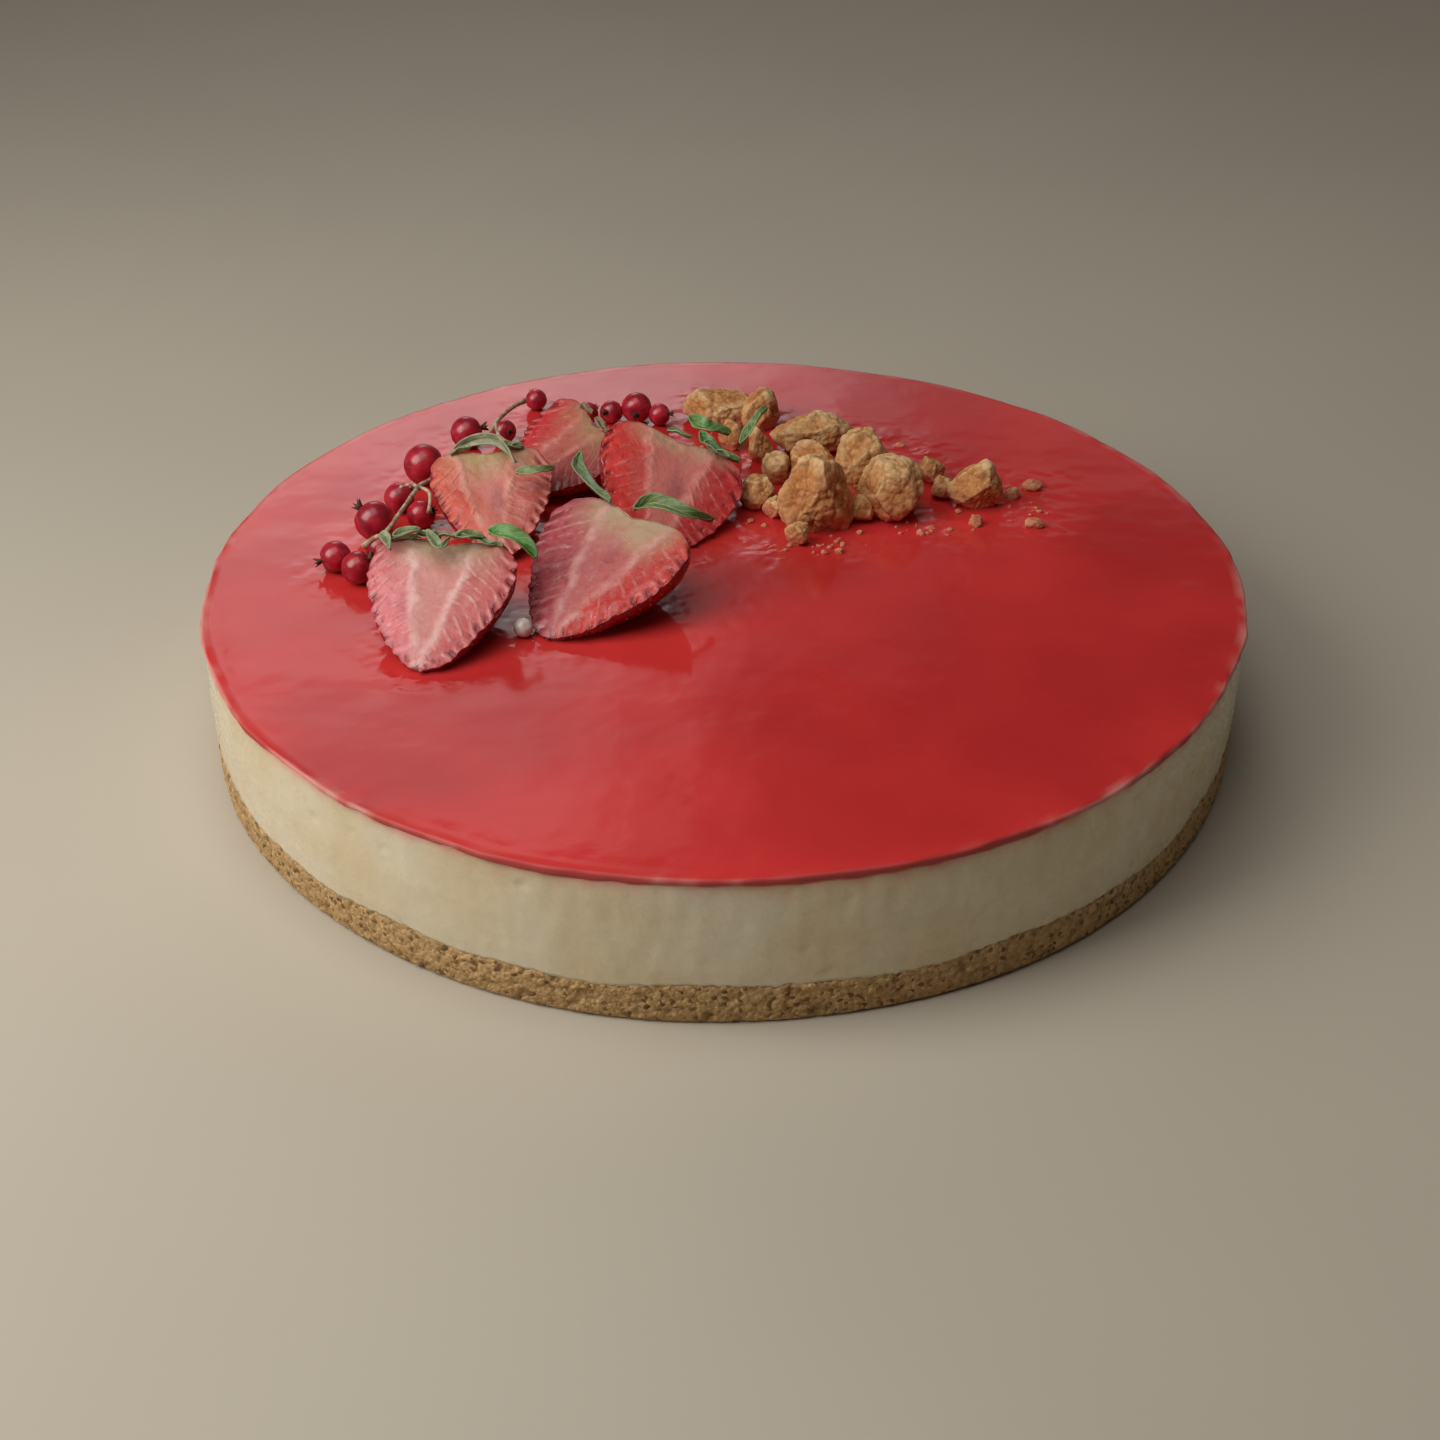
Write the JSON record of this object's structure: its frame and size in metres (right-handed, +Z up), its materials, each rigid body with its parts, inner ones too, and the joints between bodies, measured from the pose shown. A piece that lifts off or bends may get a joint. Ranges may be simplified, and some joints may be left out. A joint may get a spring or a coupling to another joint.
{
  "type": "baked cheesecake",
  "caption": "Round uncut cheesecake: crumb base, pale cream filling and a glossy red fruit glaze, topped off-centre with strawberry halves, redcurrants, crumble and small leaves.",
  "frame": {"origin": "centre of the underside of the crumb base", "axes": "+Z up through the layers, -Y towards the side with the bare glaze, +X to the right for a viewer on that side, with the fruit behind and to the left"},
  "size_m": [0.2397, 0.2399, 0.0579],
  "materials": {
    "biscuit_base": "pressed biscuit crumb",
    "cream_filling": "smooth set cream",
    "strawberry_glaze": "glossy clear red jelly",
    "strawberry": "moist cut fruit",
    "redcurrant": "glossy thin skin",
    "crumble": "craggy baked crumble",
    "stalk": "dry pale stem",
    "leaf": "soft leaf",
    "sugar_pearl": "smooth sugar"
  },
  "bodies": {
    "root": {"crumb_base": "biscuit_base", "cream_filling": "cream_filling", "strawberry_glaze": "strawberry_glaze", "strawberry_1": "strawberry", "strawberry_2": "strawberry", "strawberry_3": "strawberry", "strawberry_4": "strawberry", "strawberry_5": "strawberry", "strawberry_sepal_1": "leaf", "strawberry_sepal_2": "leaf", "strawberry_sepal_3": "leaf", "strawberry_sepal_4": "leaf", "strawberry_sepal_5": "leaf", "strawberry_sepal_6": "leaf", "leaf_1": "leaf", "leaf_2": "leaf", "leaf_3": "leaf", "leaf_4": "leaf", "leaf_5": "leaf", "leaf_6": "leaf", "currant_stalk_1": "stalk", "currant_stalk_2": "stalk", "sugar_pearl": "sugar_pearl", "redcurrant_1": "redcurrant", "redcurrant_2": "redcurrant", "redcurrant_3": "redcurrant", "redcurrant_4": "redcurrant", "redcurrant_5": "redcurrant", "redcurrant_6": "redcurrant", "redcurrant_7": "redcurrant", "redcurrant_8": "redcurrant", "redcurrant_9": "redcurrant", "redcurrant_10": "redcurrant", "redcurrant_11": "redcurrant", "redcurrant_12": "redcurrant", "redcurrant_13": "redcurrant", "redcurrant_14": "redcurrant", "crumble_1": "crumble", "crumble_2": "crumble", "crumble_3": "crumble", "crumble_4": "crumble", "crumble_5": "crumble", "crumble_6": "crumble", "crumble_7": "crumble", "crumble_8": "crumble", "crumble_9": "crumble", "crumble_10": "crumble", "crumble_11": "crumble", "crumble_12": "crumble", "crumble_13": "crumble", "crumble_14": "crumble", "crumble_15": "crumble", "crumble_16": "crumble", "crumble_17": "crumble"}
  },
  "joints": []
}
